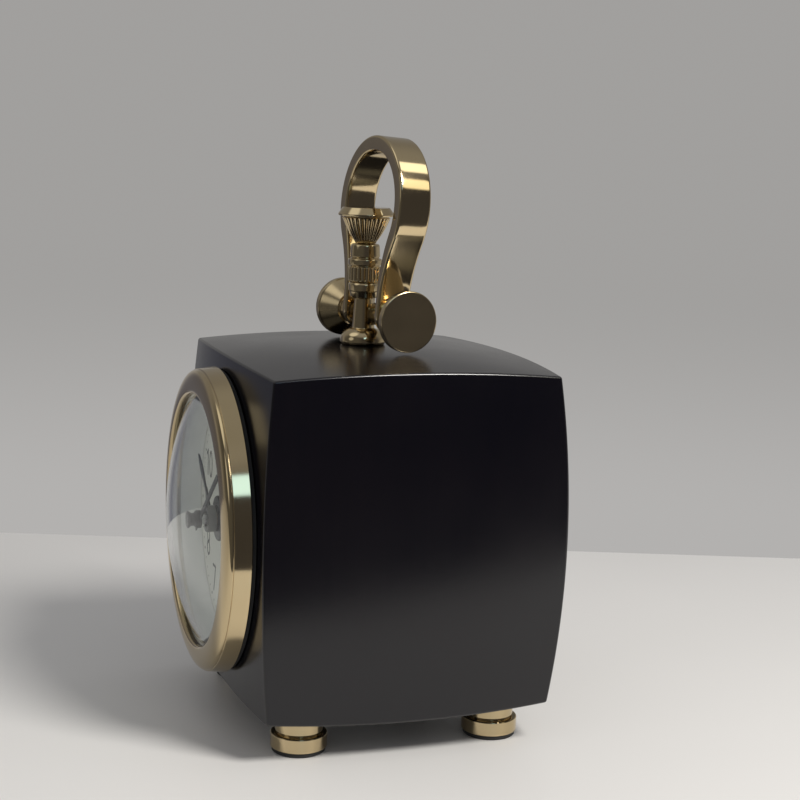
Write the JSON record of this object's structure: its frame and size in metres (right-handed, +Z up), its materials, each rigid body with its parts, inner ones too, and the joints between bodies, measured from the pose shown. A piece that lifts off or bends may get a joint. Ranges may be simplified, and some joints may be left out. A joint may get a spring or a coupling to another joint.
{
  "type": "desk clock",
  "caption": "Square desk clock with bowed dark lacquered case, domed glass in a round brass bezel, turned brass feet and a folding brass bow handle on a post.",
  "frame": {"origin": "on the table plane, under the middle of the clock's overall box", "axes": "+Z up, the dial faces -Y, +X is right as seen facing the dial"},
  "size_m": [0.1062, 0.1136, 0.1814],
  "materials": {
    "lacquered_wood": "dark espresso satin lacquer over wood",
    "polished_brass": "polished, pale gold",
    "wheel_brass": "stamped, plain",
    "steel": "plain",
    "black_rubber": "matte",
    "clear_glass": "clear domed glass",
    "white_plastic": "smooth white",
    "dial_white": "silvery white enamel with dark printed numerals",
    "black_enamel": "satin black",
    "black_plastic": "moulded",
    "battery_wrap": "plain printed sleeve",
    "board_green": "solder mask",
    "copper_wire": "enamelled copper winding"
  },
  "bodies": {
    "case": {"case_shell": "lacquered_wood", "back_panel": "lacquered_wood", "back_panel_screws": "polished_brass", "foot_front_left": "polished_brass", "foot_front_right": "polished_brass", "foot_back_left": "polished_brass", "foot_back_right": "polished_brass", "foot_pad_front_left": "black_rubber", "foot_pad_front_right": "black_rubber", "foot_pad_back_left": "black_rubber", "foot_pad_back_right": "black_rubber", "foot_screws": "steel", "handle_post": "polished_brass", "post_washer": "steel", "post_nut": "steel", "fluted_sleeve": "polished_brass", "crown": "polished_brass", "handle_axle": "polished_brass", "knob_left": "polished_brass", "knob_right": "polished_brass", "bow_washers": "polished_brass"},
    "bow": {"bow": "polished_brass"},
    "insert": {"bezel": "polished_brass", "bezel_gasket": "black_rubber", "crystal": "clear_glass", "reflector_ring": "white_plastic", "dial": "dial_white", "dial_washer": "black_enamel", "dial_nut": "black_enamel", "insert_cup": "black_plastic", "grip_ring": "black_rubber", "movement_housing": "black_plastic", "movement_cover": "black_plastic", "cover_screws": "steel", "battery": "battery_wrap", "contact_positive": "steel", "contact_negative": "steel", "circuit_board": "board_green", "quartz_can": "steel", "coil": "copper_wire", "stator": "steel"},
    "minute": {"centre_wheel": "wheel_brass", "cannon_pinion": "steel", "minute_hand": "black_enamel", "hand_nut": "black_enamel"},
    "hour": {"hour_wheel": "wheel_brass", "hour_hand": "black_enamel"},
    "motion_work": {"minute_wheel": "wheel_brass"},
    "setting": {"setting_knob": "black_plastic"},
    "third": {"third_wheel": "wheel_brass"},
    "rotor": {"rotor": "steel"}
  },
  "joints": [
    {"name": "bow_pivot", "type": "hinge", "parent": "case", "child": "bow", "pos_m": [0, 0.00647, 0.12612], "axis": [0.991, 0.134, 0], "range_deg": [-91, 99]},
    {"name": "insert_slide", "type": "slide", "parent": "case", "child": "insert", "axis": [0, -1, 0], "range_m": [0, 0.015]},
    {"name": "minute_spin", "type": "hinge", "parent": "insert", "child": "minute", "pos_m": [0, -0.04033, 0.0627], "axis": [0, 1, 0], "continuous": true},
    {"name": "hour_spin", "type": "hinge", "parent": "insert", "child": "hour", "pos_m": [0, -0.04033, 0.0627], "axis": [0, 1, 0], "continuous": true},
    {"name": "motion_spin", "type": "hinge", "parent": "insert", "child": "motion_work", "pos_m": [0.006, -0.04033, 0.07309], "axis": [0, 1, 0], "continuous": true},
    {"name": "setting_spin", "type": "hinge", "parent": "insert", "child": "setting", "pos_m": [0.01782, -0.04033, 0.07101], "axis": [0, 1, 0], "continuous": true},
    {"name": "third_spin", "type": "hinge", "parent": "insert", "child": "third", "pos_m": [-0.01156, -0.04033, 0.0627], "axis": [0, 1, 0], "continuous": true},
    {"name": "rotor_spin", "type": "hinge", "parent": "insert", "child": "rotor", "pos_m": [-0.01696, -0.04033, 0.07205], "axis": [0, 1, 0], "continuous": true}
  ],
  "couplings": [
    {"joint": "hour_spin", "follows": "minute_spin", "ratio": 0.083333},
    {"joint": "motion_spin", "follows": "minute_spin", "ratio": -0.33333},
    {"joint": "setting_spin", "follows": "minute_spin", "ratio": 1},
    {"joint": "third_spin", "follows": "minute_spin", "ratio": -7.5},
    {"joint": "rotor_spin", "follows": "minute_spin", "ratio": 60}
  ]
}
